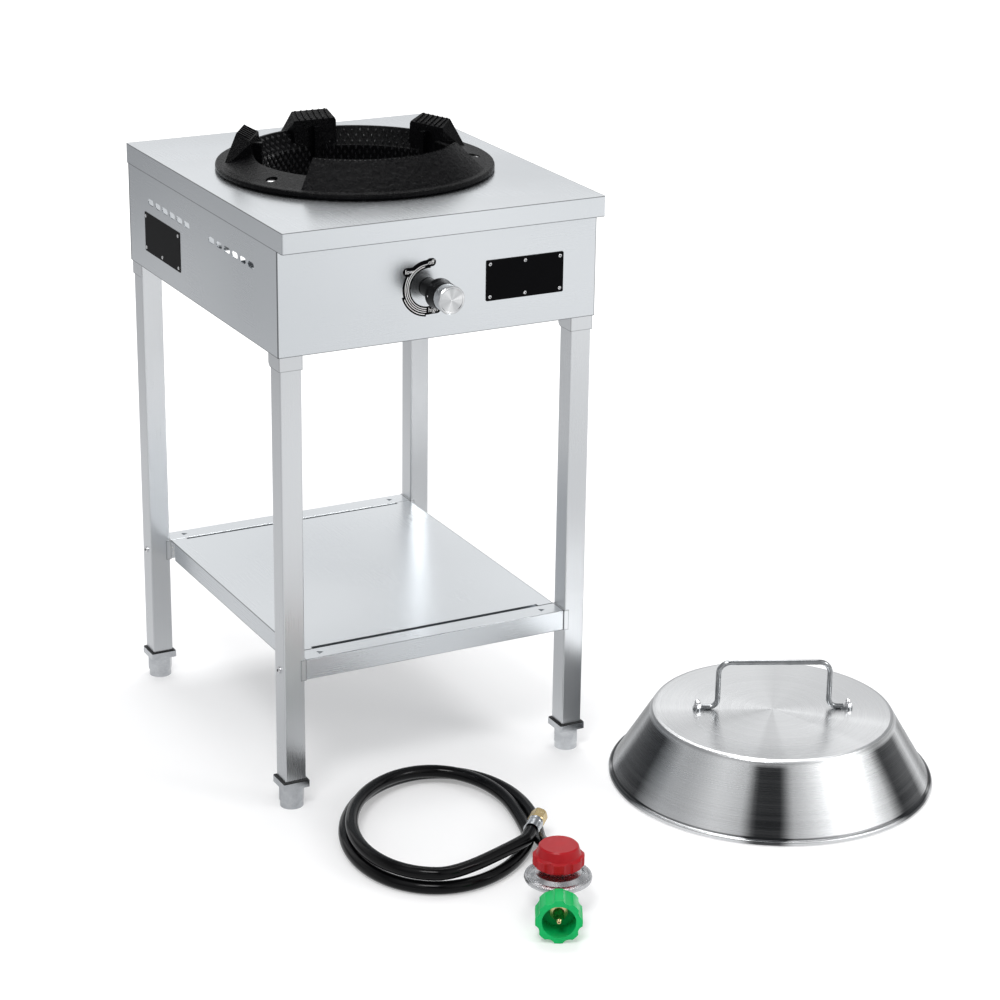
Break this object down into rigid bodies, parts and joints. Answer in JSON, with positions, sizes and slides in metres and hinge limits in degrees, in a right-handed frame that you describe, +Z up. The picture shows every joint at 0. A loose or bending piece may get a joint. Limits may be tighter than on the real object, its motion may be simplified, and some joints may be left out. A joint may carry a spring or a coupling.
{
  "type": "free-standing gas wok range",
  "caption": "Free-standing single-burner gas wok range in stainless sheet on tube legs, with cast-iron wok ring, under-shelf, burner cover, and coiled gas hose with regulator.",
  "frame": {"origin": "on the floor, in the middle of the four feet", "axes": "+X to the right as seen from the front, +Y to the back, +Z up"},
  "size_m": [0.9581, 1.134, 0.9301],
  "materials": {
    "plate_steel": "brushed along the depth",
    "panel_steel": "brushed",
    "tube_steel": "brushed along the tube",
    "bracket_steel": "brushed",
    "zinc_steel": "zinc plated",
    "black_rubber": "smooth, semi-matt",
    "screw_steel": "turned and polished",
    "cast_iron": "as cast, black enamelled",
    "brass": "turned",
    "copper_pipe": "drawn",
    "zinc_plate": "zinc plated",
    "black_plastic": "satin black",
    "turned_aluminium": "spun face",
    "spun_steel": "spun, concentric brushing",
    "rod_steel": "polished",
    "regulator_casting": "silver-grey die casting",
    "red_plastic": "moulded, semi-gloss",
    "green_plastic": "moulded, semi-gloss"
  },
  "bodies": {
    "range": {"back_left_foot_cap": "zinc_steel", "back_left_leg": "tube_steel", "back_left_leg_socket": "bracket_steel", "back_left_rail_bracket": "bracket_steel", "back_panel": "panel_steel", "back_rail": "bracket_steel", "back_right_foot_cap": "zinc_steel", "back_right_leg": "tube_steel", "back_right_leg_socket": "bracket_steel", "back_right_rail_bracket": "bracket_steel", "burner_bolts": "screw_steel", "burner_bracket": "panel_steel", "burner_head": "cast_iron", "data_plate": "black_plastic", "data_plate_rivets": "screw_steel", "dial_plate": "black_plastic", "front_left_foot_cap": "zinc_steel", "front_left_leg": "tube_steel", "front_left_leg_socket": "bracket_steel", "front_left_rail_bracket": "bracket_steel", "front_panel": "panel_steel", "front_rail": "bracket_steel", "front_right_foot_cap": "zinc_steel", "front_right_leg": "tube_steel", "front_right_leg_socket": "bracket_steel", "front_right_rail_bracket": "bracket_steel", "gas_injector": "brass", "gas_inlet": "brass", "gas_pipe": "copper_pipe", "gas_valve": "brass", "left_side_panel": "panel_steel", "leg_bolts": "screw_steel", "leg_pads": "black_rubber", "mixer_tube": "cast_iron", "name_plate": "black_plastic", "name_plate_screws": "screw_steel", "right_side_panel": "panel_steel", "ring_bolts": "screw_steel", "shelf_panel": "plate_steel", "top_plate": "plate_steel", "wok_ring": "cast_iron"},
    "front_left_adjuster": {"front_left_foot": "zinc_steel"},
    "front_right_adjuster": {"front_right_foot": "zinc_steel"},
    "back_left_adjuster": {"back_left_foot": "zinc_steel"},
    "back_right_adjuster": {"back_right_foot": "zinc_steel"},
    "control_knob": {"valve_stem": "screw_steel", "knob_skirt": "black_plastic", "knob_barrel": "turned_aluminium"},
    "shutter": {"air_shutter": "zinc_plate"},
    "burner_cover": {"cover_shell": "spun_steel", "cover_handle": "rod_steel", "cover_nuts": "screw_steel"},
    "gas_hose": {"hose_coil": "black_rubber", "hose_ferrules": "zinc_plate", "regulator_body": "regulator_casting", "cylinder_probe": "brass"},
    "pressure_knob": {"regulator_knob": "red_plastic"},
    "cylinder_coupling": {"cylinder_nut": "green_plastic"},
    "hose_nut": {"flare_nut": "brass"}
  },
  "joints": [
    {"name": "front_left_foot_screw", "type": "slide", "parent": "range", "child": "front_left_adjuster", "axis": [0, 0, -1], "range_m": [0, 0.015]},
    {"name": "front_right_foot_screw", "type": "slide", "parent": "range", "child": "front_right_adjuster", "axis": [0, 0, -1], "range_m": [0, 0.015]},
    {"name": "back_left_foot_screw", "type": "slide", "parent": "range", "child": "back_left_adjuster", "axis": [0, 0, -1], "range_m": [0, 0.015]},
    {"name": "back_right_foot_screw", "type": "slide", "parent": "range", "child": "back_right_adjuster", "axis": [0, 0, -1], "range_m": [0, 0.015]},
    {"name": "knob_turn", "type": "hinge", "parent": "range", "child": "control_knob", "pos_m": [-0.02, -0.285, 0.77], "axis": [0, -1, 0], "range_deg": [-97, 103]},
    {"name": "air_shutter_turn", "type": "hinge", "parent": "range", "child": "shutter", "pos_m": [0, -0.2, 0.77], "axis": [0, -1, 0], "range_deg": [0, 60]},
    {"name": "cover_lift", "type": "slide", "parent": "range", "child": "burner_cover", "axis": [0, 0, 1], "range_m": [0, 0.25]},
    {"name": "hose_lift", "type": "slide", "parent": "range", "child": "gas_hose", "axis": [0, 0, 1], "range_m": [0, 0.15]},
    {"name": "pressure_knob_turn", "type": "hinge", "parent": "gas_hose", "child": "pressure_knob", "pos_m": [-0.03084, -0.71464, 0.0323], "axis": [0, 0, 1], "range_deg": [0, 1440]},
    {"name": "coupling_turn", "type": "hinge", "parent": "gas_hose", "child": "cylinder_coupling", "pos_m": [-0.03084, -0.71464, 0.0323], "axis": [-0.4695, -0.8829, 0], "continuous": true},
    {"name": "hose_nut_turn", "type": "hinge", "parent": "gas_hose", "child": "hose_nut", "pos_m": [0.04655, -0.51979, 0.03649], "axis": [0.6936, 0.7183, 0.0549], "continuous": true}
  ]
}
